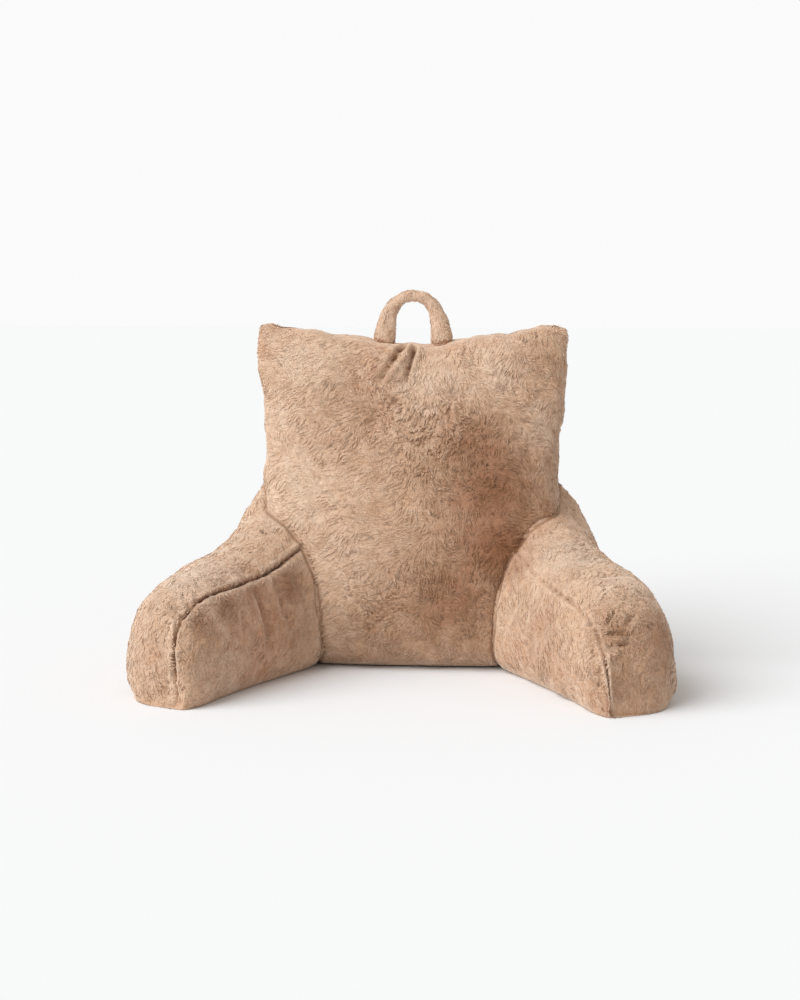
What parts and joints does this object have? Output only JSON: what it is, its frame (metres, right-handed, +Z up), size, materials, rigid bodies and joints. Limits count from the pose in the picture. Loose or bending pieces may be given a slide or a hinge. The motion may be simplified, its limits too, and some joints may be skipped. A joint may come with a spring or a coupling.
{
  "type": "reading pillow with arms",
  "caption": "Plush reading pillow: a filled leaning back with rounded ear corners, splayed filled arms with a sewn ridge, and a soft carry handle on top.",
  "frame": {"origin": "middle of the overall box at floor level, under the pillow", "axes": "+Z up, the front that a sitter leans on faces -Y, +X is to the right as the front is seen"},
  "size_m": [1.0275, 0.5773, 0.75],
  "materials": {
    "plush": "short soft pile"
  },
  "bodies": {
    "root": {"back_cushion": "plush", "arm_left": "plush", "arm_right": "plush", "handle": "plush"}
  },
  "joints": []
}
